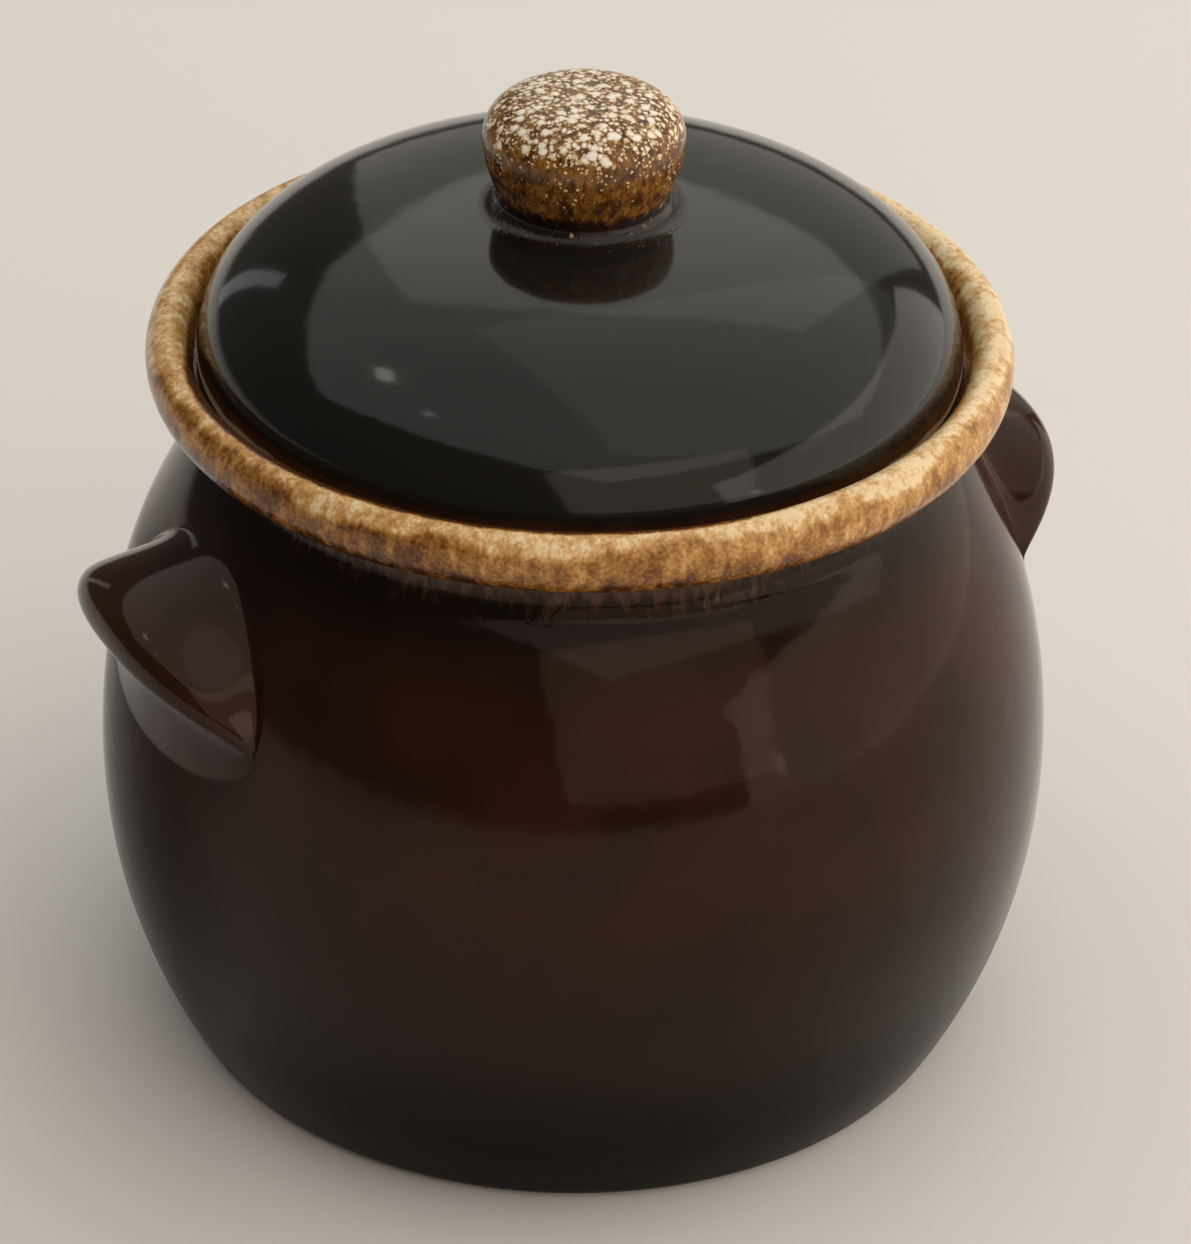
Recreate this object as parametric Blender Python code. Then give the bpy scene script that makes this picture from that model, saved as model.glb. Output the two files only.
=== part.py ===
"""Stoneware bean pot: a bulbous pot with two lug handles, and a domed lid with a knob.

Metres, +Z up. The origin is the centre of the foot, on the surface that the pot stands on.
The lugs lie on the X axis. Outlines are drawn as (radius, height) and turned round Z.
"""

import math

import bmesh
import bpy
from mathutils import Vector

# Pot
RIM_HEIGHT = 0.1458  # foot to the top of the lip
BELLY_RADIUS = 0.0910
BELLY_HEIGHT = 0.0560
FOOT_INSET = 0.0175  # flat of the foot, in from the belly
FOOT_CORNER = 0.0050
WALL = 0.0050
FLOOR = 0.0070
FLOOR_CORNER = 0.0100

# Shoulder, as shares of the climb from the belly to the neck
SHOULDER_FULLNESS = 0.415
SHOULDER_TURN = 0.285
SHOULDER_SLOPE = 45.0  # degrees, where it runs into the neck

# Neck, rolled lip and the ledge inside it
LIP_INSET = 0.0105  # outermost line of the lip, in from the belly
LIP_WIDTH = 0.0080
LIP_RISE = 0.0055  # top of the lip above its outermost line
LIP_ROLL = 0.0070  # radius of the roll below that line
NECK_DEPTH = 0.0135  # waist of the neck, in from that line
LEDGE_DEPTH = 0.0071  # ledge below the top of the lip

# Lid
SEAT_GAP = 0.0003  # under the lid, and between each luted piece and its carrier
LID_SIDE_CLEARANCE = 0.0016
LID_EDGE = 0.0030  # upright side below the dome, rounded underneath
LID_WALL = 0.0050
DOME_RISE = 0.0280
DOME_TOP_FULLNESS = 2.8  # 2 for an ellipse, more for a flatter top
DOME_SIDE_FULLNESS = 1.95  # the same for its steep side
FLANGE_DEPTH = 0.0070
FLANGE_THICKNESS = 0.0040
FLANGE_CLEARANCE = 0.0015

# Knob
KNOB_BASE_RADIUS = 0.0156
KNOB_FLARE = 0.0029  # widest line, out from the base
KNOB_SIDE = 0.0135  # base to the widest line
KNOB_CROWN = 0.0080  # widest line to the top
KNOB_CROWN_ROUNDING = 0.55

# Lugs
LUG_REACH = 0.0165  # beyond the wall
LUG_HALF_ANGLE = 20.2  # degrees round the pot
LUG_BELOW_RIM = 0.0303  # upper root
LUG_HEIGHT = 0.0355  # upper root to lower root
LUG_RIDGE_DROP = 0.0111  # middle of the outer ridge, below the upper root
LUG_DROOP = 0.0147  # ends of the outer ridge, below its middle
LUG_RIDGE_RADIUS = 0.0055
LUG_TOP_SLOPE = 10.0  # degrees down, where the top face meets the ridge
LUG_UNDERCUT = 18.0  # degrees, where the underside leaves the ridge
LUG_ROOT_ANGLE = 22.0  # degrees between the wall and the lug's faces
LUG_TAPER = 0.65  # how bluntly the reach dies away at the ends
LUG_PULL = 0.34  # of the curves of its faces, as a share of their length
LUG_ROOT_DEPTH = 0.0040  # into the wall, before it is trimmed to it
LUG_END_SHARE = 0.9995  # of the half angle, where the last section is drawn

# How finely the shapes are drawn
POT_SEGMENTS = 48
KNOB_SEGMENTS = 32
LUG_STATIONS = 21
CORNER_STEPS = 4
WALL_STEPS = 7
SHOULDER_STEPS = 9
NECK_STEPS = 3
ROLL_STEPS = 5
EDGE_STEPS = 6
LIP_STEPS = 8
DOME_STEPS = 14
KNOB_STEPS = 8
LUG_STEPS = 5

# Fired colours, as sRGB
DARK_GLAZE = (0.17, 0.10, 0.07)
LID_GLAZE = (0.13, 0.09, 0.07)
KNOB_GLAZE = (0.50, 0.33, 0.19)


def arc(centre, radius, start, end, steps, stretch=1.0):
    """Points on an arc, with angles in degrees and the height stretched."""
    points = []
    for step in range(steps + 1):
        angle = math.radians(start + (end - start) * step / steps)
        across = radius * math.cos(angle)
        up = radius * stretch * math.sin(angle)
        points.append(Vector((centre[0] + across, centre[1] + up)))
    return points


def bezier(a, b, c, d, steps, aside=0.0):
    """Points on a cubic curve from a to d, moved to the right of the way it runs."""
    points = []
    for step in range(steps + 1):
        t = step / steps
        s = 1.0 - t
        point = s**3 * a + 3 * s * s * t * b + 3 * s * t * t * c + t**3 * d
        along = s * s * (b - a) + 2 * s * t * (c - b) + t * t * (d - c)
        along.normalize()
        points.append(point + aside * Vector((along.y, -along.x)))
    return points


def joined(*runs):
    """One outline from several runs of points, without the points that repeat."""
    outline = []
    for run in runs:
        for point in run:
            if not outline or (point - outline[-1]).length > 1e-6:
                outline.append(point)
    return outline


def heading(degrees):
    """A unit vector that points outwards at 0 degrees and up at 90."""
    return Vector((math.cos(math.radians(degrees)), math.sin(math.radians(degrees))))


def lower_wall(aside, bottom, corner):
    """The wall from its bottom corner up to the belly, moved outwards by aside."""
    rise = BELLY_HEIGHT - FOOT_CORNER
    curve = (FOOT_INSET**2 + rise**2 - FOOT_CORNER**2) / (2 * (FOOT_INSET - FOOT_CORNER))
    centre = Vector((BELLY_RADIUS - curve, BELLY_HEIGHT))
    drop = BELLY_HEIGHT - bottom - corner
    run = math.sqrt((curve + aside - corner) ** 2 - drop**2)
    turn = math.degrees(math.atan2(-drop, run))
    return joined(
        arc((centre.x + run, bottom + corner), corner, -90, turn, CORNER_STEPS),
        arc(centre, curve + aside, turn, 0, WALL_STEPS),
    )


def lip_centre():
    """The centre of the roll under the lip. The hollow of the neck is centred below it."""
    return Vector((BELLY_RADIUS - LIP_INSET - LIP_ROLL, RIM_HEIGHT - LIP_RISE))


def neck_centre():
    return lip_centre() - Vector((0, LIP_ROLL + neck_curve()))


def neck_curve():
    return NECK_DEPTH - LIP_ROLL


def upper_wall(aside):
    """The wall from the belly up to the waist of the neck, moved outwards by aside."""
    belly = Vector((BELLY_RADIUS, BELLY_HEIGHT))
    start = 180 + SHOULDER_SLOPE
    end = neck_centre() + neck_curve() * heading(start)
    climb = end.y - belly.y
    before_end = end - heading(180 - SHOULDER_SLOPE) * climb * SHOULDER_TURN
    above_belly = belly + Vector((0, climb * SHOULDER_FULLNESS))
    return joined(
        bezier(belly, above_belly, before_end, end, SHOULDER_STEPS, aside),
        arc(neck_centre(), neck_curve() - aside, start, 180, NECK_STEPS),
    )


def outer_wall(aside=0.0):
    """The outside of the pot from the foot to the waist, moved outwards by aside."""
    return joined(lower_wall(aside, -aside, FOOT_CORNER + aside), upper_wall(aside))


def wall_at(height):
    """A point on the outer wall, and the way up the wall there."""
    wall = outer_wall()
    for low, high in zip(wall, wall[1:]):
        if low.y <= height <= high.y:
            break
    share = (height - low.y) / (high.y - low.y)
    return low.lerp(high, share), (high - low).normalized()


def throat_radius():
    return BELLY_RADIUS - LIP_INSET - NECK_DEPTH - WALL


def ledge_height():
    return RIM_HEIGHT - LEDGE_DEPTH


def mouth_radius():
    return BELLY_RADIUS - LIP_INSET - LIP_WIDTH


def pot_outline():
    half_width = LIP_WIDTH / 2
    lip_top = Vector((mouth_radius() + half_width, lip_centre().y))
    inner_wall = joined(lower_wall(-WALL, FLOOR, FLOOR_CORNER), upper_wall(-WALL))
    return joined(
        outer_wall(),
        arc(neck_centre(), neck_curve(), 180, 90, NECK_STEPS),
        arc(lip_centre(), LIP_ROLL, -90, 0, ROLL_STEPS),
        arc(lip_top, half_width, 0, 180, LIP_STEPS, LIP_RISE / half_width),
        [Vector((mouth_radius(), ledge_height()))],
        [Vector((throat_radius(), ledge_height()))],
        reversed(inner_wall),
    )


def lid_radius():
    return mouth_radius() - LID_SIDE_CLEARANCE


def dome(aside):
    """The dome from the crown to the edge, above the seat, moved outwards by aside."""
    radius = lid_radius()
    points = []
    for step in range(DOME_STEPS + 1):
        angle = math.pi / 2 * step / DOME_STEPS
        across = math.sin(angle) ** (2 / DOME_TOP_FULLNESS)
        up = max(math.cos(angle), 0) ** (2 / DOME_SIDE_FULLNESS)
        point = Vector((radius * across, LID_EDGE + DOME_RISE * up))
        lean = DOME_TOP_FULLNESS * across ** (DOME_TOP_FULLNESS - 1) / radius
        rise = DOME_SIDE_FULLNESS * up ** (DOME_SIDE_FULLNESS - 1) / DOME_RISE
        points.append(point + aside * Vector((lean, rise)).normalized())
    return points


def lid_outline():
    """Heights are above the seat of the lid."""
    edge = LID_EDGE / 2
    half_flange = FLANGE_THICKNESS / 2
    flange_outer = throat_radius() - FLANGE_CLEARANCE
    flange_inner = flange_outer - FLANGE_THICKNESS
    flange_tip = (flange_outer - half_flange, half_flange - FLANGE_DEPTH)
    hollow = []
    for point, after in zip(dome(-LID_WALL), dome(-LID_WALL)[1:]):
        hollow.append(point)
        if after.x > flange_inner:
            share = (flange_inner - point.x) / (after.x - point.x)
            hollow.append(point.lerp(after, share))
            break
    return joined(
        hollow,
        arc(flange_tip, half_flange, -180, 0, EDGE_STEPS),
        [Vector((flange_outer, 0))],
        arc((lid_radius() - edge, edge), edge, -90, 0, EDGE_STEPS),
        reversed(dome(0)),
    )


def knob_outline():
    """Heights are above the base of the knob."""
    widest = KNOB_BASE_RADIUS + KNOB_FLARE
    side = []
    for step in range(KNOB_STEPS + 1):
        share = step / KNOB_STEPS
        radius = KNOB_BASE_RADIUS + KNOB_FLARE * math.sin(share * math.pi / 2)
        side.append(Vector((radius, KNOB_SIDE * share)))
    crown = []
    for step in range(KNOB_STEPS):
        angle = math.pi / 2 * step / KNOB_STEPS
        radius = widest * math.cos(angle) ** KNOB_CROWN_ROUNDING
        crown.append(Vector((radius, KNOB_SIDE + KNOB_CROWN * math.sin(angle))))
    return joined(side, crown, [Vector((0, KNOB_SIDE + KNOB_CROWN))])


def turned(name, outline, segments):
    """A mesh from an outline turned round Z, with its open ends closed by flat faces."""
    shape = bmesh.new()
    verts = [shape.verts.new((point.x, 0, point.y)) for point in outline]
    edges = [shape.edges.new(pair) for pair in zip(verts, verts[1:])]
    bmesh.ops.spin(
        shape,
        geom=verts + edges,
        cent=(0, 0, 0),
        axis=(0, 0, 1),
        angle=math.tau,
        steps=segments,
        use_merge=True,
    )
    bmesh.ops.remove_doubles(shape, verts=shape.verts, dist=1e-6)
    open_edges = [edge for edge in shape.edges if edge.is_boundary]
    bmesh.ops.holes_fill(shape, edges=open_edges, sides=segments)
    return finished(name, shape)


def lug_section(share):
    """The section of the lug at a share of its half angle, from its root round to its root."""
    left = 1 - share**2
    top = RIM_HEIGHT - LUG_BELOW_RIM
    ridge = top - LUG_RIDGE_DROP
    end = ridge - LUG_DROOP
    bottom = top - LUG_HEIGHT
    upper_root, up_at_top = wall_at(end + (top - end) * math.sqrt(left))
    lower_root, up_at_bottom = wall_at(end + (bottom - end) * math.sqrt(left))
    on_wall = wall_at(ridge - LUG_DROOP * share**2)[0]
    reach = LUG_REACH * left**LUG_TAPER
    ridge_radius = min(LUG_RIDGE_RADIUS, LUG_PULL * reach + SEAT_GAP)
    ridge_centre = on_wall + Vector((reach - ridge_radius, 0))
    nose = arc(ridge_centre, ridge_radius, 90 - LUG_TOP_SLOPE, -LUG_UNDERCUT, LUG_STEPS)

    down = math.degrees(math.atan2(-up_at_top.y, -up_at_top.x))
    pull = (nose[0] - upper_root).length * LUG_PULL
    top_face = bezier(
        upper_root,
        upper_root + pull * heading(down + LUG_ROOT_ANGLE),
        nose[0] - pull * heading(-LUG_TOP_SLOPE),
        nose[0],
        LUG_STEPS,
    )
    up = math.degrees(math.atan2(up_at_bottom.y, up_at_bottom.x))
    pull = (nose[-1] - lower_root).length * LUG_PULL
    underside = bezier(
        nose[-1],
        nose[-1] - pull * heading(90 - LUG_UNDERCUT),
        lower_root + pull * heading(up - LUG_ROOT_ANGLE),
        lower_root,
        LUG_STEPS,
    )
    depth = Vector((LUG_ROOT_DEPTH, 0))
    return joined([upper_root - depth], top_face, nose, underside, [lower_root - depth])


def lug_mesh():
    """A lug round +X, with its root inside the wall. Its ends die away in the wall."""
    shape = bmesh.new()
    rings = []
    middle = (LUG_STATIONS - 1) / 2
    for station in range(LUG_STATIONS):
        share = LUG_END_SHARE * math.sin(math.pi / 2 * (station - middle) / middle)
        angle = math.radians(LUG_HALF_ANGLE) * share
        ring = []
        for point in lug_section(share):
            place = (point.x * math.cos(angle), point.x * math.sin(angle), point.y)
            ring.append(shape.verts.new(place))
        rings.append(ring)
    for ring, after in zip(rings, rings[1:]):
        for i in range(len(ring)):
            shape.faces.new((ring[i - 1], ring[i], after[i], after[i - 1]))
    shape.faces.new(rings[0])
    shape.faces.new(rings[-1])
    return finished("lug", shape)


def finished(name, shape):
    """A smooth mesh with its faces outwards and its real edges sharp."""
    bmesh.ops.recalc_face_normals(shape, faces=shape.faces)
    mesh = bpy.data.meshes.new(name)
    shape.to_mesh(mesh)
    shape.free()
    mesh.shade_smooth()
    mesh.set_sharp_from_angle(angle=math.radians(40))
    return mesh


def glaze(name, colour, roughness):
    material = bpy.data.materials.new(name)
    material.use_nodes = True
    shader = material.node_tree.nodes["Principled BSDF"]
    linear = [channel**2.2 for channel in colour]
    shader.inputs["Base Color"].default_value = (*linear, 1)
    shader.inputs["Roughness"].default_value = roughness
    shader.inputs["Metallic"].default_value = 0
    return material


def placed(name, mesh, material=None, parent=None, height=0.0):
    """An object for a mesh, at a height above its parent's origin."""
    piece = bpy.data.objects.new(name, mesh)
    bpy.context.scene.collection.objects.link(piece)
    piece.location = (0, 0, height)
    piece.parent = parent
    if material:
        mesh.materials.append(material)
    return piece


def trim(piece, cutter):
    """Cuts away what lies inside the cutter."""
    cut = piece.modifiers.new("Trim to the wall", "BOOLEAN")
    cut.operation = "DIFFERENCE"
    cut.solver = "EXACT"
    cut.object = cutter


for old in list(bpy.data.objects):
    bpy.data.objects.remove(old, do_unlink=True)

pot = placed(
    "pot_body",
    turned("pot_body", pot_outline(), POT_SEGMENTS),
    glaze("brown glaze on the pot", DARK_GLAZE, 0.10),
)

wall = placed("wall_cutter", turned("wall_cutter", outer_wall(SEAT_GAP), POT_SEGMENTS))
wall.hide_render = True
wall.display_type = "WIRE"

for side, angle in (("left", math.pi), ("right", 0.0)):
    colour = glaze("brown glaze on the " + side + " lug", DARK_GLAZE, 0.12)
    lug = placed("lug_" + side, lug_mesh(), colour, pot)
    lug.rotation_euler.z = angle
    trim(lug, wall)

lid = placed(
    "lid",
    turned("lid", lid_outline(), POT_SEGMENTS),
    glaze("near-black glaze on the lid", LID_GLAZE, 0.08),
    height=ledge_height() + SEAT_GAP,
)

knob = placed(
    "lid_knob",
    turned("lid_knob", knob_outline(), KNOB_SEGMENTS),
    glaze("tan glaze on the knob", KNOB_GLAZE, 0.20),
    lid,
    LID_EDGE + DOME_RISE + SEAT_GAP,
)
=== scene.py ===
import math
from functools import partial

import bmesh
import bpy
from mathutils import Matrix, Vector, noise
from mathutils.geometry import interpolate_bezier


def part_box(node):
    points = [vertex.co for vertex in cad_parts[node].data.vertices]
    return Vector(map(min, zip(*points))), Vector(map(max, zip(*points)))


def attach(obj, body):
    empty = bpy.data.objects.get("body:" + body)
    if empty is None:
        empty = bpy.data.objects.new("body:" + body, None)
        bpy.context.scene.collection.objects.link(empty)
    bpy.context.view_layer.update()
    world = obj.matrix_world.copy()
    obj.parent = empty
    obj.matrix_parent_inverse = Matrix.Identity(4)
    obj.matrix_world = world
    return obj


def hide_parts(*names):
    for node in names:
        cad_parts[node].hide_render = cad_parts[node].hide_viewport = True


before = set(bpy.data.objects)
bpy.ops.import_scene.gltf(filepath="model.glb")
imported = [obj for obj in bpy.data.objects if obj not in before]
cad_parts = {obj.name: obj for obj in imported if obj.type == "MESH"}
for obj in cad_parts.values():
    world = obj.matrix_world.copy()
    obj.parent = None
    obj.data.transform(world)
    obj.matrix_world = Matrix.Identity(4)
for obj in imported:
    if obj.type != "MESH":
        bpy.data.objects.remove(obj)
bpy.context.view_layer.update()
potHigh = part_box("pot_body")[1]
lidLow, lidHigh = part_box("lid")
knobLow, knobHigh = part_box("lid_knob")
print("frame loaded")

# Everything is in metres, +Z up, with the foot's centre at the origin and the lugs on the X axis.
# Outlines are drawn in the XZ plane, x as the radius, and turned round Z.

drawing = {
    "potSegments": 288,
    "lidSegments": 288,
    "knobSegments": 160,
    "lugStations": 96,
    "quarter": 0.5523,  # handle length of a curve that draws a quarter circle
    "merge": 1e-6,
    "sharpAngle": 40,
}


def at(radius, height):
    return Vector((radius, 0, height))


def heading(degrees):
    return at(math.cos(math.radians(degrees)), math.sin(math.radians(degrees)))


def straight(shape, tip, end):
    made = bmesh.ops.extrude_vert_indiv(shape, verts=[tip])["verts"][0]
    made.co = end
    return made


def curve(shape, tip, handleOut, handleIn, end, steps):
    for point in interpolate_bezier(tip.co, handleOut, handleIn, end, steps + 1)[1:]:
        tip = straight(shape, tip, point)
    return tip


def arc(shape, tip, centre, degrees, steps):  # anticlockwise as drawn
    made = bmesh.ops.spin(
        shape, geom=[tip], cent=centre, axis=(0, -1, 0), angle=math.radians(degrees), steps=steps
    )
    return next(part for part in made["geom_last"] if isinstance(part, bmesh.types.BMVert))


def turnRound(shape, segments):
    bmesh.ops.spin(
        shape,
        geom=shape.verts[:] + shape.edges[:],
        cent=(0, 0, 0),
        axis=(0, 0, 1),
        angle=math.tau,
        steps=segments,
        use_merge=True,
    )
    bmesh.ops.remove_doubles(shape, verts=shape.verts, dist=drawing["merge"])


def finishPiece(name, shape, body, node, material):
    bmesh.ops.remove_doubles(shape, verts=shape.verts, dist=drawing["merge"])
    bmesh.ops.recalc_face_normals(shape, faces=shape.faces)
    mesh = bpy.data.meshes.new(name)
    shape.to_mesh(mesh)
    shape.free()
    mesh.shade_smooth()
    mesh.set_sharp_from_angle(angle=math.radians(drawing["sharpAngle"]))
    mesh.materials.append(material)
    piece = bpy.data.objects.new(name, mesh)
    bpy.context.scene.collection.objects.link(piece)
    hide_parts(node)
    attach(piece, body)
    print(name, "made with", len(mesh.polygons), "faces")
    return piece


handmade = {"potWaver": 0.00024, "lidWaver": 0.00016, "wavelength": 0.045}


def waverIn(shape, amount):  # a thrown pot is never quite round
    for vert in shape.verts:
        across = Vector((vert.co.x, vert.co.y, 0))
        if across.length > 0:
            share = 0.5 + 0.5 * noise.noise(vert.co / handmade["wavelength"])
            vert.co -= across.normalized() * share * amount


def waverUp(shape, amount):
    for vert in shape.verts:
        vert.co.z += noise.noise(vert.co / handmade["wavelength"]) * amount


# Materials. A pattern is given as millimetres across, detail and roughness. A range is the two
# values that something is read between, then the two that they become: 0 and 1 if left out.

smooth = {"interpolation_type": "SMOOTHSTEP"}


def linear(hexColour):
    channels = [int(hexColour[i : i + 2], 16) / 255 for i in (1, 3, 5)]
    return tuple(c / 12.92 if c <= 0.04045 else ((c + 0.055) / 1.055) ** 2.4 for c in channels) + (1,)


def connect(tree, node, inputs):  # each input takes a node, a socket, a hex colour or a number
    for name, value in inputs.items():
        if isinstance(value, bpy.types.Node):
            value = next(output for output in value.outputs if output.enabled)
        if isinstance(value, bpy.types.NodeSocket):
            tree.links.new(value, node.inputs[name])
        else:
            node.inputs[name].default_value = linear(value) if isinstance(value, str) else value


def addNode(tree, kind, inputs=(), stops=(), **settings):
    made = tree.nodes.new("ShaderNode" + kind)
    for name, value in settings.items():
        setattr(made, name, value)
    connect(tree, made, inputs if isinstance(inputs, dict) else dict(enumerate(inputs)))
    for i, (place, colour) in enumerate(stops):
        elements = made.color_ramp.elements
        stop = elements[i] if i < 2 else elements.new(place)
        stop.position = place
        stop.color = linear(colour)
    return made


def newMaterial(name, inputs):
    material = bpy.data.materials.new(name)
    material.use_nodes = True
    shader = material.node_tree.nodes["Principled BSDF"]
    connect(material.node_tree, shader, inputs)
    print(name, "started")
    return material, material.node_tree, shader


def grain(place, millimetres, detail=2.0, roughness=0.5):  # what a noise of a real size takes
    return {"Vector": place, "Scale": 1000 / millimetres, "Detail": detail, "Roughness": roughness}


def cylinderCoordinates(tree):
    place = addNode(tree, "TexCoord").outputs["Object"]
    height = addNode(tree, "SeparateXYZ", (place,)).outputs["Z"]
    level = addNode(tree, "VectorMath", (place, (1, 1, 0)), operation="MULTIPLY")
    radius = addNode(tree, "VectorMath", (level,), operation="LENGTH")
    return place, radius, height


def towards(tree, place, radius, way):  # 1 where the wall faces that way, -1 where it faces away
    along = addNode(tree, "VectorMath", (place, way), operation="DOT_PRODUCT")
    return addNode(tree, "Math", (along, radius), operation="DIVIDE")


def unevenSkin(tree, place, waves):  # each wave of the surface lies over the one before it
    inputs = {}
    for millimetres, detail, strength, rise in waves:
        inputs["Height"] = addNode(tree, "TexNoise", grain(place, millimetres, detail))
        inputs["Strength"] = strength
        inputs["Distance"] = rise
        inputs["Normal"] = addNode(tree, "Bump", inputs)
    return inputs["Normal"]


# Pot

pot = {
    "belly": potHigh.x,
    "bellyHeight": 0.0560,
    "footRadius": 0.0735,
    "footCorner": 0.0050,
    "wall": 0.0050,
    "floor": 0.0070,
    "floorCorner": 0.0100,
    "shoulderFullness": 0.415,  # how far the wall goes on straight up, as a share of the climb
    "shoulderTurn": 0.285,
    "shoulderSlope": 45,
    "lipRadius": potHigh.x - 0.0105,
    "lipRoll": 0.0070,
    "lipWidth": 0.0080,
    "lipRise": 0.0055,
    "neckDepth": 0.0135,
    "ledgeDepth": 0.0071,
    "easedCorner": 0.0009,
}

potSteps = {  # along each stretch of the outline
    "footCorner": 12,
    "foot": 26,
    "shoulder": 44,
    "neck": 20,
    "underLip": 14,
    "lip": 14,
    "easedCorner": 5,
    "innerNeck": 8,
    "innerShoulder": 30,
    "innerFoot": 16,
    "floorCorner": 10,
}

lipCentre = at(pot["lipRadius"] - pot["lipRoll"], potHigh.z - pot["lipRise"])
lipCrest = pot["lipRadius"] - pot["lipWidth"] / 2
neckCurve = pot["neckDepth"] - pot["lipRoll"]
neckCentre = lipCentre - at(0, pot["lipRoll"] + neckCurve)
mouth = pot["lipRadius"] - pot["lipWidth"]
ledge = potHigh.z - pot["ledgeDepth"]
throat = pot["lipRadius"] - pot["neckDepth"] - pot["wall"]

# Pot glaze: a brown slip glaze, fired till it runs, that froths to cream and gold where it is thick
# on the lip. The eye sees a wet, almost black brown, with a mottled tan collar. Its index starts
# from a glassy 1.5 and is lowered to match how softly the real pot shines.

potGlaze = {
    "body": "#1F0F09",
    "bodyRed": "#2A150D",
    "low": "#0E0A06",
    "neck": "#120C09",
    "clay": "#B79B78",
    "sheen": "#FFE6D6",
    "speck": "#3A210E",
    "brown": "#6E431B",
    "gold": "#A57438",
    "paleGold": "#D6A868",
    "cream": "#F8DFB2",
    "frothTones": ((0.02, "speck"), (0.20, "brown"), (0.46, "gold"), (0.74, "paleGold"), (1.0, "cream")),
    "ior": 1.33,
    "frothIor": 1.52,
    "dryIor": 1.10,
    "lugIor": 1.39,  # a thicker coat, with more shine
    "wet": 0.09,
    "satin": 0.17,
    "bare": 0.85,
    "shadedLipSide": (-0.737, -0.676, 0),  # on this side the lip's inner slope is painted dark from just past the crest: painted shade where it falls away into the gap by the lid
    "dryAndShadedSide": (-0.887, 0.462, 0),  # a dull coat, thinner than elsewhere, low down on this side; above it the froth is painted darker on this side and lighter on the far side: painted shade and painted light
    "runDown": (1, 1, 0.3),  # draws a pattern out down the wall
    "clouds": (22, 3),
    "patches": (5, 4, 0.55),
    "mottle": (1.8, 3),
    "fine": (0.7, 2),
    "streaks": (1.5, 3),
    "cloudDrift": (0.35, 0.65, -0.0014, 0.0014),
    "feather": (0.3, 0.7, -0.0024, 0.0024),
    "frothBelow": (0.0150, 0.0225, 1.0, 0.0),  # it thins out this far below the top of the lip
    "frothInside": (0.30, 0.80, 0.0044, -0.0005),  # how far the froth's colour reaches inside the lip's crest before the painted shade starts
    "mottleInside": (0.3, 0.7, -0.0003, 0.0003),
    "patchTone": (0.32, 0.68, 0.28, 0.54),
    "mottleTone": (0.34, 0.66, -0.12, 0.12),
    "fineTone": (0.34, 0.66, -0.09, 0.09),
    # partly the froth's own cream, partly a painted highlight band along the lip's crest
    "crestCreamAndHighlight": (0.0010, 0.0028, 0.38, 0.0),
    "underTone": (0.0040, 0.0115, 0.0, -0.34),
    # painted light and shade: the froth is lighter on the lit far side and a little darker on the shaded
    # side
    "paintedSideLight": (-0.6, 0.6, 0.15, -0.05),
    # painted shade on the lip's inner slope, towards the gap by the lid
    "insideShade": (0.0, 0.0013, 0.0, -0.90),
    "bodyClouds": (0.35, 0.65),
    "lowDown": (0.020, 0.098, 1.0, 0.0),
    "neckUp": (0.108, 0.124),
    "bareDown": (0.0001, 0.0006, 1.0, 0.0),
    "lowSatin": (0.015, 0.080, 0.24, 0.0),
    "dryFacing": (0.55, 0.90),
    "dryDown": (0.095, 0.120, 1.0, 0.0),
    "footDull": (0.012, 0.055, 0.7, 0.0),
    "waves": ((14.0, 2, 0.25, 0.0006), (3.0, 2, 0.10, 0.0002)),  # size, detail, strength, rise
    "frothStrength": 0.35,
    "frothRise": 0.0003,
}


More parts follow.
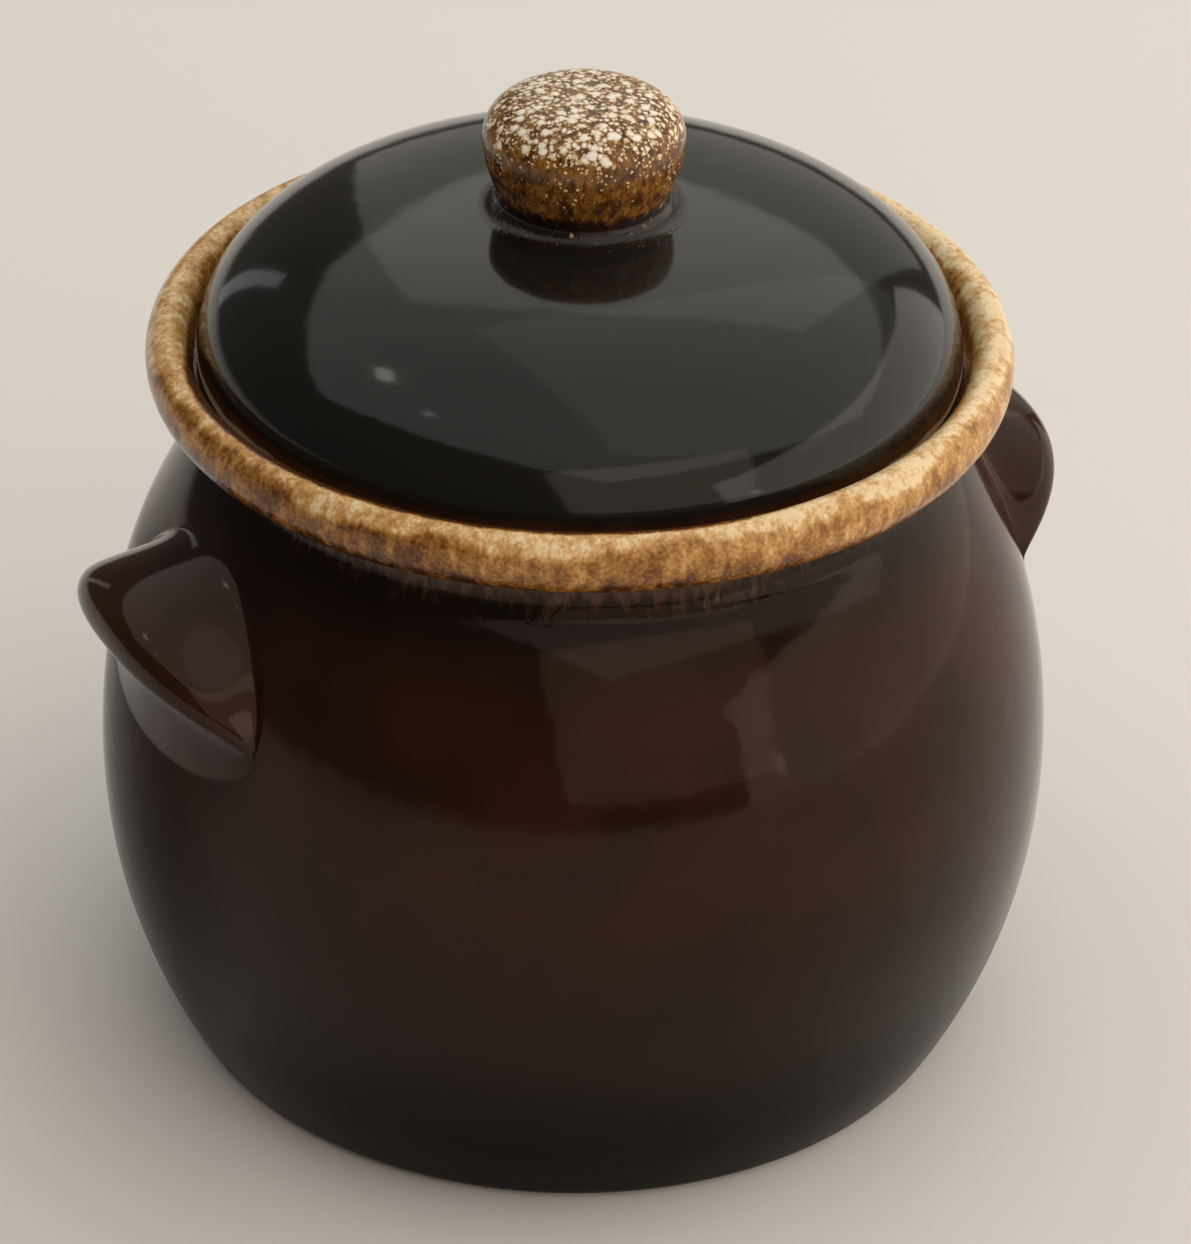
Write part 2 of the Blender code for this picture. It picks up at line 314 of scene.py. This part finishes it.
def makePotGlaze():
    glaze = potGlaze
    base = {"IOR": glaze["ior"], "Specular Tint": glaze["sheen"]}
    material, tree, shader = newMaterial("brownSlipGlaze", base)
    add = partial(addNode, tree)
    place, radius, height = cylinderCoordinates(tree)
    runs = add("VectorMath", (place, glaze["runDown"]), operation="MULTIPLY")
    clouds = add("TexNoise", grain(place, *glaze["clouds"]))
    patches = add("TexNoise", grain(place, *glaze["patches"]))
    mottle = add("TexNoise", grain(runs, *glaze["mottle"]))
    fine = add("TexNoise", grain(place, *glaze["fine"]))
    streaks = add("TexNoise", grain(runs, *glaze["streaks"]))

    # how far below the top of the lip, and how far inside the froth's edge on it
    below = add("Math", (potHigh.z, height), operation="SUBTRACT")
    drift = add("MapRange", (clouds, *glaze["cloudDrift"]), **smooth)
    below = add("Math", (below, drift), operation="ADD")
    feather = add("MapRange", (streaks, *glaze["feather"]), **smooth)
    feathered = add("Math", (below, feather), operation="ADD")
    frothy = add("MapRange", (feathered, *glaze["frothBelow"]), **smooth)
    # the side where the lip's inner slope is painted dark, as shade in the gap by the lid
    shadedLip = towards(tree, place, radius, glaze["shadedLipSide"])
    # the side with the dull coat, and also the shaded side for the painted light and shade on the froth
    dryAndShaded = towards(tree, place, radius, glaze["dryAndShadedSide"])
    inside = add("Math", (lipCrest, radius), operation="SUBTRACT")
    reach = add("MapRange", (shadedLip, *glaze["frothInside"]), **smooth)
    inside = add("Math", (inside, reach), operation="SUBTRACT")
    uneven = add("MapRange", (mottle, *glaze["mottleInside"]), **smooth)
    inside = add("Math", (inside, uneven), operation="ADD")

    tone = add("MapRange", (patches, *glaze["patchTone"]), **smooth)
    for cause, effect in (
        (mottle, "mottleTone"),
        (fine, "fineTone"),
        # partly a painted highlight along the lip's crest
        (below, "crestCreamAndHighlight"),
        (below, "underTone"),
        # painted light on the lit side, painted shade on the other
        (dryAndShaded, "paintedSideLight"),
        # painted shade on the lip's inner slope
        (inside, "insideShade"),
    ):
        change = add("MapRange", (cause, *glaze[effect]), **smooth)
        tone = add("Math", (tone, change), operation="ADD")
    froth = add("ValToRGB", (tone,), [(place, glaze[name]) for place, name in glaze["frothTones"]])

    colour = add("MapRange", (clouds, *glaze["bodyClouds"]), **smooth)
    colour = add("Mix", {0: colour, 6: glaze["body"], 7: glaze["bodyRed"]}, data_type="RGBA")
    low = add("MapRange", (height, *glaze["lowDown"]), **smooth)
    neck = add("MapRange", (height, *glaze["neckUp"]), **smooth)
    bare = add("MapRange", (height, *glaze["bareDown"]), **smooth)
    layers = ((low, glaze["low"]), (neck, glaze["neck"]), (frothy, froth), (bare, glaze["clay"]))
    for share, layer in layers:
        colour = add("Mix", {0: share, 6: colour, 7: layer}, data_type="RGBA")

    gloss = add("MapRange", (frothy, 0, 1, glaze["wet"], glaze["satin"]), **smooth)
    lowSatin = add("MapRange", (height, *glaze["lowSatin"]), **smooth)
    gloss = add("Math", (gloss, lowSatin), operation="MAXIMUM")
    rough = add("MapRange", (bare, 0, 1, 0, glaze["bare"]), **smooth)
    gloss = add("Math", (gloss, rough), operation="MAXIMUM")

    dull = add("MapRange", (dryAndShaded, *glaze["dryFacing"]), **smooth)
    down = add("MapRange", (height, *glaze["dryDown"]), **smooth)
    dull = add("Math", (dull, down), operation="MULTIPLY")
    foot = add("MapRange", (height, *glaze["footDull"]), **smooth)
    dull = add("Math", (dull, foot), operation="MAXIMUM")
    thick = add("Attribute", attribute_name="thickCoat").outputs["Fac"]
    plain = add("Math", (1, thick), operation="SUBTRACT")
    dull = add("Math", (dull, plain), operation="MULTIPLY")
    ior = add("MapRange", (frothy, 0, 1, glaze["ior"], glaze["frothIor"]), **smooth)
    for share, full in ((dull, "dryIor"), (thick, "lugIor")):
        change = add("MapRange", (share, 0, 1, 0, glaze[full] - glaze["ior"]), **smooth)
        ior = add("Math", (ior, change), operation="ADD")

    raised = {
        "Height": add("Math", (frothy, tone), operation="MULTIPLY"),
        "Strength": glaze["frothStrength"],
        "Distance": glaze["frothRise"],
        "Normal": unevenSkin(tree, place, glaze["waves"]),
    }
    normal = add("Bump", raised)
    connect(tree, shader, {"Base Color": colour, "Roughness": gloss, "IOR": ior, "Normal": normal})
    return material


potMaterial = makePotGlaze()


def footCurve():  # centre and radius of the curve from the foot to the belly
    rise = pot["bellyHeight"] - pot["footCorner"]
    inset = pot["belly"] - pot["footRadius"]
    radius = (inset**2 + rise**2 - pot["footCorner"] ** 2) / (2 * (inset - pot["footCorner"]))
    return at(pot["belly"] - radius, pot["bellyHeight"]), radius


def drawShoulder(shape, tip, aside, steps, upwards):  # between the belly and the neck
    foot = at(pot["belly"] + aside, pot["bellyHeight"])
    top = neckCentre + (neckCurve - aside) * heading(180 + pot["shoulderSlope"])
    climb = top.z - foot.z
    handles = [
        foot + at(0, climb * pot["shoulderFullness"]),
        top - heading(180 - pot["shoulderSlope"]) * climb * pot["shoulderTurn"],
    ]
    if upwards:
        return curve(shape, tip, *handles, top, steps)
    return curve(shape, tip, *reversed(handles), foot, steps)


def makePot():
    shape = bmesh.new()
    steps = potSteps
    centre, radius = footCurve()
    cornerCentre = at(pot["footRadius"], pot["footCorner"])
    away = cornerCentre - centre
    turn = math.degrees(math.atan2(-away.z, away.x))
    tip = straight(shape, shape.verts.new((0, 0, 0)), at(pot["footRadius"], 0))
    tip = arc(shape, tip, cornerCentre, 90 - turn, steps["footCorner"])
    tip = arc(shape, tip, centre, turn, steps["foot"])
    tip = drawShoulder(shape, tip, 0, steps["shoulder"], True)
    tip = arc(shape, tip, neckCentre, pot["shoulderSlope"] - 180, steps["neck"])
    outer = [vert.co.copy() for vert in shape.verts if vert.co.z < neckCentre.z]

    # over the lip to the ledge
    tip = arc(shape, tip, lipCentre, 90, steps["underLip"])
    half = pot["lipWidth"] / 2
    top = at(mouth + half, potHigh.z)
    side = pot["lipRise"] * drawing["quarter"]
    over = half * drawing["quarter"]
    tip = curve(shape, tip, tip.co + at(0, side), top + at(over, 0), top, steps["lip"])
    end = at(mouth, lipCentre.z)
    tip = curve(shape, tip, top - at(over, 0), end + at(0, side), end, steps["lip"])
    ease = pot["easedCorner"]
    tip = straight(shape, tip, at(mouth, ledge + ease))
    tip = arc(shape, tip, at(mouth - ease, ledge + ease), -90, steps["easedCorner"])
    tip = straight(shape, tip, at(throat + ease, ledge))
    tip = arc(shape, tip, at(throat + ease, ledge - ease), 90, steps["easedCorner"])

    # down the inside, one wall in from the outline
    tip = straight(shape, tip, at(throat, neckCentre.z))
    tip = arc(shape, tip, neckCentre, pot["shoulderSlope"], steps["innerNeck"])
    tip = drawShoulder(shape, tip, -pot["wall"], steps["innerShoulder"], False)
    innerRadius = radius - pot["wall"]
    floorTop = pot["floor"] + pot["floorCorner"]
    run = math.sqrt((innerRadius - pot["floorCorner"]) ** 2 - (centre.z - floorTop) ** 2)
    turn = math.degrees(math.atan2(centre.z - floorTop, run))
    tip = arc(shape, tip, centre, -turn, steps["innerFoot"])
    tip = arc(shape, tip, at(centre.x + run, floorTop), turn - 90, steps["floorCorner"])
    straight(shape, tip, at(0, pot["floor"]))
    turnRound(shape, drawing["potSegments"])
    waverIn(shape, handmade["potWaver"])
    finishPiece("potBody", shape, "pot", "pot_body", potMaterial)
    return outer


outerWall = makePot()


# Lugs: pulled clay pads luted to the shoulder, smoothed into the wall with a wet thumb

lug = {
    "tip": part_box("lug_right")[1].x,
    "halfAngle": 20.8,
    "upperRoot": potHigh.z - 0.0290,
    "lowerRoot": potHigh.z - 0.0675,
    "ridge": potHigh.z - 0.0422,
    "droop": 0.0147,  # its ends lie this far below the middle of the ridge
    "ridgeRadius": 0.0060,
    "noseFrom": 55,  # degrees above level, where the top face runs into the ridge
    "noseTo": -54,
    "fullness": 3.1,
    "softness": 0.9,  # near 1 the ends run softly into the wall
    "rootPull": 0.0050,
    "facePull": 0.0050,
    "underPull": 0.0075,
    "underRootPull": 0.0085,
    "proud": 0.00002,  # keeps its outline clear of the wall
    "tuck": 0.0015,  # how far its rim goes into the wall
    "coatTurn": 1.6,  # how quickly the coat thins where the lug turns under
    "faceSteps": 24,
    "noseSteps": 16,
    "underSteps": 24,
}


def wallAt(height):  # a point on the outer wall, and the way down it
    for low, high in zip(outerWall, outerWall[1:]):
        if low.z <= height <= high.z:
            break
    share = (height - low.z) / (high.z - low.z)
    return low.lerp(high, share), (low - high).normalized()


def lugMiddle():  # the outline through the middle, from its upper root over the nose to its lower root
    upper, upperDown = wallAt(lug["upperRoot"])
    lower, lowerDown = wallAt(lug["lowerRoot"])
    centre = at(lug["tip"] - lug["proud"] - lug["ridgeRadius"], lug["ridge"])
    noseTop = centre + lug["ridgeRadius"] * heading(lug["noseFrom"])
    noseEnd = centre + lug["ridgeRadius"] * heading(lug["noseTo"])
    face = interpolate_bezier(
        upper,
        upper + upperDown * lug["rootPull"],
        noseTop - heading(lug["noseFrom"] - 90) * lug["facePull"],
        noseTop,
        lug["faceSteps"] + 1,
    )
    turn = (lug["noseTo"] - lug["noseFrom"]) / lug["noseSteps"]
    nose = [
        centre + lug["ridgeRadius"] * heading(lug["noseFrom"] + turn * step)
        for step in range(1, lug["noseSteps"])
    ]
    under = interpolate_bezier(
        noseEnd,
        noseEnd + heading(lug["noseTo"] - 90) * lug["underPull"],
        lower - lowerDown * lug["underRootPull"],
        lower,
        lug["underSteps"] + 1,
    )
    return face + nose + under


def lugSections(shares):  # the middle outline sinks back into the wall towards both ends
    middle = lugMiddle()
    run = [0.0]
    for first, second in zip(middle, middle[1:]):
        run.append(run[-1] + (second - first).length)
    heights = [lug["upperRoot"] + (lug["lowerRoot"] - lug["upperRoot"]) * part / run[-1] for part in run]
    stands = [point - wallAt(height)[0] for point, height in zip(middle, heights)]
    end = lug["ridge"] - lug["droop"]
    sections = []
    for share in shares:
        wide = math.sqrt(max(1 - share**2, 0))
        amount = max(1 - abs(share) ** lug["fullness"], 0) ** lug["softness"]
        wall = [wallAt(end + (height - end) * wide)[0] for height in heights]
        sections.append([point + out * amount for point, out in zip(wall, stands)])
    return sections


def makeLug(name, node, azimuth):
    shape = bmesh.new()
    stations = drawing["lugStations"]
    columns = lug["faceSteps"] + lug["noseSteps"] + lug["underSteps"]
    half = 0.5
    bmesh.ops.create_grid(shape, x_segments=stations, y_segments=columns, size=half)
    shares = [math.sin(math.pi * (i / stations - half)) for i in range(stations + 1)]
    sections = lugSections(shares)
    for vert in shape.verts:
        i = round((vert.co.x + half) * stations)
        j = round((vert.co.y + half) * columns)
        point = sections[i][j] + at(lug["proud"], 0)
        angle = lug["halfAngle"] * shares[i] + azimuth
        vert.co = Matrix.Rotation(math.radians(angle), 3, "Z") @ point
    bmesh.ops.remove_doubles(shape, verts=shape.verts, dist=drawing["merge"])
    waverIn(shape, handmade["potWaver"])
    rim = [edge for edge in shape.edges if edge.is_boundary]
    made = bmesh.ops.extrude_edge_only(shape, edges=rim)["geom"]
    for vert in [part for part in made if isinstance(part, bmesh.types.BMVert)]:
        vert.co -= Vector((vert.co.x, vert.co.y, 0)).normalized() * lug["tuck"]
    rim = [edge for edge in shape.edges if edge.is_boundary]
    bmesh.ops.holes_fill(shape, edges=rim, sides=0)
    mesh = finishPiece(name, shape, "pot", node, potMaterial).data
    coat = mesh.attributes.new("thickCoat", "FLOAT", "POINT")
    for vert, thickness in zip(mesh.vertices, coat.data):  # the underside keeps the thin coat
        thickness.value = min(max(0.5 + lug["coatTurn"] * vert.normal.z, 0.0), 1.0)


makeLug("lugLeft", "lug_left", 180)
makeLug("lugRight", "lug_right", 0)


# Lid

lid = {
    "radius": lidHigh.x,
    "seat": ledge + 0.0003,  # it rests on a thin film of grit
    "side": 0.0030,
    "edge": 0.0015,
    "crown": lidHigh.z,
    "topFullness": 2.8,
    "sideFullness": 1.95,
    "wall": 0.0050,
    "flangeGap": 0.0015,
    "flangeWidth": 0.0040,
    "flangeTip": lidLow.z,
    "innerCorner": 0.0030,
    "domeSteps": 72,
    "innerCornerSteps": 8,
    "flangeSteps": 12,
    "edgeSteps": 8,
}

# Lid glaze: the same slip glaze in a thicker, smoother coat. It reads as black until light
# crosses it, and breaks to brown where it thins at the edge; the cream line there is a painted
# highlight.

lidGlaze = {
    "black": "#0F0E0C",
    "edge": "#4A2C16",
    # painted highlight: the cream line along the lid's rounded lower edge
    "highlightLine": "#D2BD9A",
    "clay": "#B79B78",
    "ior": 1.46,
    "wet": 0.09,
    "bare": 0.8,
    "edgeWaver": (9.0,),
    "edgeDrift": (0.3, 0.7, -0.0003, 0.0003),
    "outside": (lid["radius"] - 0.0019, lid["radius"] - 0.0009),
    "edgeDown": (lid["seat"] + 0.0028, lid["seat"] + 0.0060, 1.0, 0.0),
    # where the painted highlight line sits on the rounded edge
    "highlightLineDown": (lid["seat"] + 0.0022, lid["seat"] + 0.0032, 1.0, 0.0),
    "seatDown": (lid["seat"], lid["seat"] + 0.0004, 1.0, 0.0),  # bare clay from the seat down
    "waves": ((18.0, 2, 0.22, 0.0006), (4.0, 1, 0.07, 0.0002)),  # size, detail, strength, rise
}


def makeLidGlaze():
    glaze = lidGlaze
    material, tree, shader = newMaterial("blackBrownGlaze", {"IOR": glaze["ior"]})
    add = partial(addNode, tree)
    place, radius, height = cylinderCoordinates(tree)
    drift = add("TexNoise", grain(place, *glaze["edgeWaver"]))
    drift = add("MapRange", (drift, *glaze["edgeDrift"]), **smooth)
    drifted = add("Math", (height, drift), operation="ADD")
    outside = add("MapRange", (radius, *glaze["outside"]), **smooth)
    colour = glaze["black"]
    # brown where the glaze thins, then a painted highlight line on the rounded edge
    for layer, down in (("edge", "edgeDown"), ("highlightLine", "highlightLineDown")):
        share = add("MapRange", (drifted, *glaze[down]), **smooth)
        share = add("Math", (outside, share), operation="MULTIPLY")
        colour = add("Mix", {0: share, 6: colour, 7: glaze[layer]}, data_type="RGBA")
    seat = add("MapRange", (height, *glaze["seatDown"]), **smooth)
    colour = add("Mix", {0: seat, 6: colour, 7: glaze["clay"]}, data_type="RGBA")
    gloss = add("MapRange", (seat, 0, 1, glaze["wet"], glaze["bare"]), **smooth)
    skin = unevenSkin(tree, place, glaze["waves"])
    connect(tree, shader, {"Base Color": colour, "Roughness": gloss, "Normal": skin})
    return material


def domePoint(share, thinner):  # from the crown at 0 to the side at 1
    angle = share * math.pi / 2
    base = lid["seat"] + lid["side"]
    rise = lid["crown"] - base
    across = math.sin(angle) ** (2 / lid["topFullness"])
    up = max(math.cos(angle), 0) ** (2 / lid["sideFullness"])
    lean = lid["topFullness"] * across ** (lid["topFullness"] - 1) / lid["radius"]
    climb = lid["sideFullness"] * up ** (lid["sideFullness"] - 1) / rise
    return at(lid["radius"] * across, base + rise * up) - at(lean, climb).normalized() * thinner


def domeHeight(radius):
    base = lid["seat"] + lid["side"]
    share = (radius / lid["radius"]) ** lid["topFullness"]
    return base + (lid["crown"] - base) * (1 - share) ** (1 / lid["sideFullness"])


def makeLid():
    shape = bmesh.new()
    outer = throat - lid["flangeGap"]
    inner = outer - lid["flangeWidth"]
    half = lid["flangeWidth"] / 2
    quarter = drawing["quarter"]
    tip = shape.verts.new(domePoint(0, lid["wall"]))
    for step in range(1, lid["domeSteps"]):
        point = domePoint(step / lid["domeSteps"], lid["wall"])
        if point.x >= inner - lid["innerCorner"]:
            break
        tip = straight(shape, tip, point)
    corner = at(inner, tip.co.z)
    end = corner - at(0, lid["innerCorner"])
    handles = tip.co.lerp(corner, quarter), end.lerp(corner, quarter)
    tip = curve(shape, tip, *handles, end, lid["innerCornerSteps"])
    tip = straight(shape, tip, at(inner, lid["flangeTip"] + half))
    tip = arc(shape, tip, at(inner + half, lid["flangeTip"] + half), 180, lid["flangeSteps"])
    tip = straight(shape, tip, at(outer, lid["seat"]))
    tip = straight(shape, tip, at(lid["radius"] - lid["edge"], lid["seat"]))
    edgeCentre = at(lid["radius"] - lid["edge"], lid["seat"] + lid["edge"])
    tip = arc(shape, tip, edgeCentre, 90, lid["edgeSteps"])
    for step in range(lid["domeSteps"] + 1):
        tip = straight(shape, tip, domePoint(1 - step / lid["domeSteps"], 0))
    tip.co.x = 0
    turnRound(shape, drawing["lidSegments"])
    waverUp(shape, handmade["lidWaver"])
    finishPiece("lidShell", shape, "lid", "lid", makeLidGlaze())


makeLid()


# Knob

knob = {
    "base": 0.0156,
    "widest": knobHigh.x,
    "widestHeight": knobHigh.z - 0.0080,
    "crown": 0.0080,
    "rounding": 0.55,
    "fillet": 0.0036,
    "filletRise": 0.0028,
    "sink": 0.0010,  # how far its foot goes into the lid
    "proud": 0.00003,  # keeps the fillet's edge clear of the lid
    "steps": 28,
    "filletSteps": 10,
}

# Knob glaze: the froth again, thick on the crown. Cream bubbles a millimetre or two across sit
# close together in brown glaze, thin out down the side and leave the foot of the knob dark.

knobGlaze = {
    "white": "#FFFAF0",
    "cream": "#E6CFA6",
    "amber": "#94652A",
    "brown": "#53310F",
    "umber": "#3A1F0E",
    "dark": "#170F0A",
    "frothTones": ((0.14, "amber"), (0.48, "cream"), (0.80, "white")),
    "ior": 1.45,
    "bubble": 2.3,  # millimetres across
    "smallBubble": 1.3,
    "dot": 0.8,
    "smallAmount": 0.85,
    "dotAmount": 0.55,
    "bubbleEdge": (0.10, 0.62, 1.0, 0.0),
    "bubbleChance": (-0.1, 0.5),
    "warp": 0.0009,  # bends the bubbles out of round
    "runDown": (1, 1, 0.4),
    "patches": (6,),
    "patchShare": (0.3, 0.7, -0.22, 0.22),
    "crownShare": (0.72, 1.0, 0.0, 1.3),
    "sideDots": (0.1, 0.5, 0.05, 0.50),
    "fine": (0.6, 2),
    "fineShare": (0.3, 0.7, -0.10, 0.10),
    "streaks": (1.0, 4, 0.65),
    "streakMix": (0.36, 0.64),
    "blotches": (3.0, 3),
    "blotchMix": (0.45, 0.68),
    "footRuns": (2.0, 3),
    "footDrift": (0.3, 0.7, -0.04, 0.04),
    "footDark": (0.05, 0.17, 1.0, 0.0),
    "frothMix": (0.08, 0.42),
    "gloss": (0.1, 0.6, 0.12, 0.28),
    "frothStrength": 0.45,
    "frothRise": 0.0003,
}


def bubbles(tree, place, millimetres, share):  # soft rounded bubbles, in a share of the cells
    add = partial(addNode, tree)
    cells = add("TexVoronoi", {"Vector": place, "Scale": 1000 / millimetres})
    lot = add("SeparateXYZ", (cells.outputs["Color"],)).outputs["X"]
    core = add("MapRange", (cells, *knobGlaze["bubbleEdge"]), **smooth)
    chance = add("Math", (share, lot), operation="SUBTRACT")
    chosen = add("MapRange", (chance, *knobGlaze["bubbleChance"]), **smooth)
    return add("Math", (core, chosen), operation="MULTIPLY")


def makeKnobGlaze():
    glaze = knobGlaze
    material, tree, shader = newMaterial("frothedKnobGlaze", {"IOR": glaze["ior"]})
    add = partial(addNode, tree)
    place = add("TexCoord").outputs["Object"]
    height = add("SeparateXYZ", (place,)).outputs["Z"]
    warp = add("TexNoise", grain(place, glaze["smallBubble"])).outputs["Color"]
    warp = add("VectorMath", (warp, (0.5, 0.5, 0.5)), operation="SUBTRACT")
    warp = add("VectorMath", {0: warp, "Scale": glaze["warp"]}, operation="SCALE")
    bent = add("VectorMath", (place, warp), operation="ADD")
    runs = add("VectorMath", (place, glaze["runDown"]), operation="MULTIPLY")

    climb = add("MapRange", (height, knobLow.z, knobHigh.z), **smooth)
    patches = add("TexNoise", grain(place, *glaze["patches"]))
    patches = add("MapRange", (patches, *glaze["patchShare"]), **smooth)
    share = add("MapRange", (climb, *glaze["crownShare"]), **smooth)
    share = add("Math", (share, patches), operation="ADD")
    dotShare = add("MapRange", (climb, *glaze["sideDots"]), **smooth)
    dotShare = add("Math", (share, dotShare), operation="ADD")
    froth = bubbles(tree, bent, glaze["bubble"], share)
    small = bubbles(tree, bent, glaze["smallBubble"], share)
    dots = bubbles(tree, bent, glaze["dot"], dotShare)
    for layer, amount in ((small, "smallAmount"), (dots, "dotAmount")):
        layer = add("Math", (layer, glaze[amount]), operation="MULTIPLY")
        froth = add("Math", (froth, layer), operation="MAXIMUM")
    fine = add("TexNoise", grain(place, *glaze["fine"]))
    fine = add("MapRange", (fine, *glaze["fineShare"]), **smooth)
    froth = add("Math", (froth, fine), operation="ADD")

    streaks = add("TexNoise", grain(runs, *glaze["streaks"]))
    streaks = add("MapRange", (streaks, *glaze["streakMix"]), **smooth)
    blotches = add("TexNoise", grain(place, *glaze["blotches"]))
    blotches = add("MapRange", (blotches, *glaze["blotchMix"]), **smooth)
    foot = add("TexNoise", grain(runs, *glaze["footRuns"]))
    foot = add("MapRange", (foot, *glaze["footDrift"]), **smooth)
    foot = add("Math", (climb, foot), operation="ADD")
    foot = add("MapRange", (foot, *glaze["footDark"]), **smooth)
    pale = add("ValToRGB", (froth,), [(place, glaze[name]) for place, name in glaze["frothTones"]])
    frothy = add("MapRange", (froth, *glaze["frothMix"]), **smooth)
    colour = glaze["brown"]
    layers = (
        (streaks, glaze["amber"]),
        (blotches, glaze["umber"]),
        (foot, glaze["dark"]),
        (frothy, pale),
    )
    for share, layer in layers:
        colour = add("Mix", {0: share, 6: colour, 7: layer}, data_type="RGBA")

    gloss = add("MapRange", (froth, *glaze["gloss"]), **smooth)
    raised = {"Height": froth, "Strength": glaze["frothStrength"], "Distance": glaze["frothRise"]}
    normal = add("Bump", raised)
    connect(tree, shader, {"Base Color": colour, "Roughness": gloss, "Normal": normal})
    return material


def makeKnob():
    shape = bmesh.new()
    outer = knob["base"] + knob["fillet"]
    start = at(outer, domeHeight(outer) + knob["proud"])
    bottom = at(outer, start.z - knob["sink"])
    tip = straight(shape, shape.verts.new((0, 0, bottom.z)), bottom)
    tip = straight(shape, tip, start)
    top = at(knob["base"], start.z + knob["filletRise"])
    handles = (
        start - at(knob["fillet"] * drawing["quarter"], 0),
        top - at(0, knob["filletRise"] * drawing["quarter"]),
    )
    tip = curve(shape, tip, *handles, top, knob["filletSteps"])
    rise = knob["widestHeight"] - top.z
    for step in range(1, knob["steps"] + 1):
        share = step / knob["steps"]
        swell = (knob["widest"] - knob["base"]) * math.sin(share * math.pi / 2)
        tip = straight(shape, tip, top + at(swell, rise * share))
    for step in range(1, knob["steps"] + 1):
        angle = math.pi / 2 * step / knob["steps"]
        radius = knob["widest"] * max(math.cos(angle), 0) ** knob["rounding"]
        tip = straight(shape, tip, at(radius, knob["widestHeight"] + knob["crown"] * math.sin(angle)))
    tip.co.x = 0
    turnRound(shape, drawing["knobSegments"])
    finishPiece("knob", shape, "lid", "lid_knob", makeKnobGlaze())


makeKnob()


# Floor, light and camera

studio = {
    "floorSize": 60.0,
    "floor": {"Base Color": "#F0EEEB", "Roughness": 0.9, "Specular IOR Level": 0.1},
    "world": {"Color": "#56524E", "Strength": 1.0},
    "goal": Vector((0, 0, 0.10)),
    "softness": (1.0, 0.88, 0.76, 0.64),  # each lamp is a few panels, one inside the other
}

# azimuth as the camera's, elevation, distance, width, height, radiance, colour
lamps = {
    "ceiling": (110, 80, 1.6, 4.2, 3.8, 2.3, "#FFFCF6"),
    "rightWall": (64, 8, 1.8, 4.4, 1.6, 4.2, "#FFF4E8"),
    "rightCeiling": (80, 60, 1.6, 2.4, 2.0, 0.9, "#FFFCF6"),
    "backWall": (144, 28, 1.9, 1.6, 1.8, 1.6, "#FFFBEA"),
    "frontWall": (-4, 26, 1.8, 1.8, 1.5, 2.5, "#FFE4CE"),
    "doorGap": (-170, 12, 1.8, 0.14, 0.9, 2.4, "#FFFFFF"),
    "bulb": (-136, 57, 1.8, 0.16, 0.10, 11.0, "#F4FFE8"),
    "secondBulb": (-102, 60, 1.8, 0.09, 0.09, 6.0, "#FFFFFF"),
    "smallWindow": (22, 4, 1.8, 0.09, 0.14, 6.0, "#FFF4E4"),
}

photoView = {
    "target": Vector((0, 0, 0.142)),
    "azimuth": -27.5,
    "elevation": 29.36,
    "distance": 0.98,
    "aim": Vector((0.0035, -0.0018, 0.0794)),
    "roll": 1.23,
    "lens": 152.9,
    "sensorHeight": 36,
}


def fromTarget(azimuth, elevation, distance):
    a = math.radians(azimuth)
    e = math.radians(elevation)
    return distance * Vector((math.sin(a) * math.cos(e), -math.cos(a) * math.cos(e), math.sin(e)))


def facing(place, goal, roll=0.0):
    turn = (goal - place).to_track_quat("-Z", "Y").to_matrix().to_4x4()
    return Matrix.Translation(place) @ turn @ Matrix.Rotation(math.radians(roll), 4, "Z")


def makeFloor():
    shape = bmesh.new()
    bmesh.ops.create_grid(shape, x_segments=1, y_segments=1, size=studio["floorSize"] / 2)
    mesh = bpy.data.meshes.new("floor")
    shape.to_mesh(mesh)
    shape.free()
    mesh.materials.append(newMaterial("palePaper", studio["floor"])[0])
    floor = bpy.data.objects.new("floor", mesh)
    bpy.context.scene.collection.objects.link(floor)


def makeLamps():
    goal = studio["goal"]
    panels = studio["softness"]
    for name, (azimuth, elevation, distance, width, height, radiance, colour) in lamps.items():
        for share in panels:
            light = bpy.data.lights.new(name, "AREA")
            light.shape = "RECTANGLE"
            light.size = width * share
            light.size_y = height * share
            light.energy = radiance / len(panels) * math.pi * light.size * light.size_y
            light.color = linear(colour)[:3]
            lamp = bpy.data.objects.new(name, light)
            lamp.visible_camera = False
            lamp.matrix_world = facing(goal + fromTarget(azimuth, elevation, distance), goal)
            bpy.context.scene.collection.objects.link(lamp)


def makeWorld():
    world = bpy.data.worlds.new("studio")
    world.use_nodes = True
    connect(world.node_tree, world.node_tree.nodes["Background"], studio["world"])
    bpy.context.scene.world = world


def makeCamera():
    camera = bpy.data.cameras.new("photoCamera")
    camera.sensor_fit = "VERTICAL"
    camera.sensor_height = photoView["sensorHeight"]
    camera.lens = photoView["lens"]
    viewer = bpy.data.objects.new("photoCamera", camera)
    away = fromTarget(photoView["azimuth"], photoView["elevation"], photoView["distance"])
    viewer.matrix_world = facing(photoView["target"] + away, photoView["aim"], photoView["roll"])
    bpy.context.scene.collection.objects.link(viewer)
    bpy.context.scene.camera = viewer


makeFloor()
makeLamps()
makeWorld()
makeCamera()
bpy.context.scene.view_settings.view_transform = "Standard"
print("studio set")
